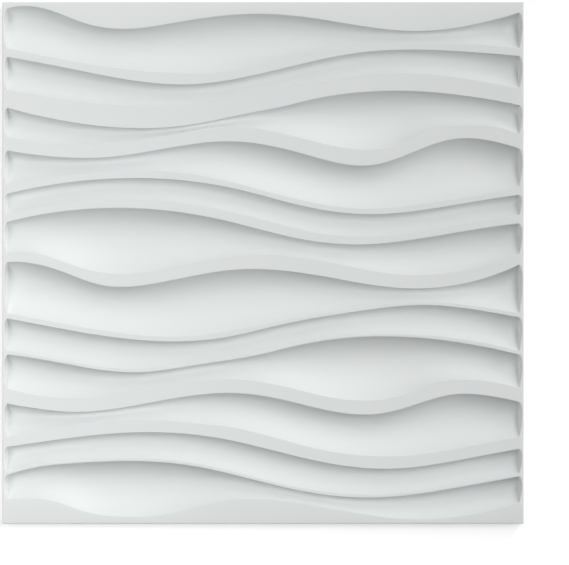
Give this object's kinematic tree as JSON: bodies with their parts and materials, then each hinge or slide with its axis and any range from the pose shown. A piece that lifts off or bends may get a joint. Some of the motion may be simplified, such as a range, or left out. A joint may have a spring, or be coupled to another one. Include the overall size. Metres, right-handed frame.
{
  "type": "3d wall panel tile",
  "caption": "Square white wall tile moulded from thin plastic sheet, with scooped wave valleys between flat bands, a straight edge all round and a hollow back.",
  "frame": {"origin": "middle of the back, in the plane that lies against the wall", "axes": "+Z out of the face, +Y up the wall, +X to the right along the waves as seen from the front"},
  "size_m": [0.5, 0.5, 0.018],
  "materials": {
    "body": "satin white"
  },
  "bodies": {
    "root": {"wave_panel": "body"}
  },
  "joints": []
}
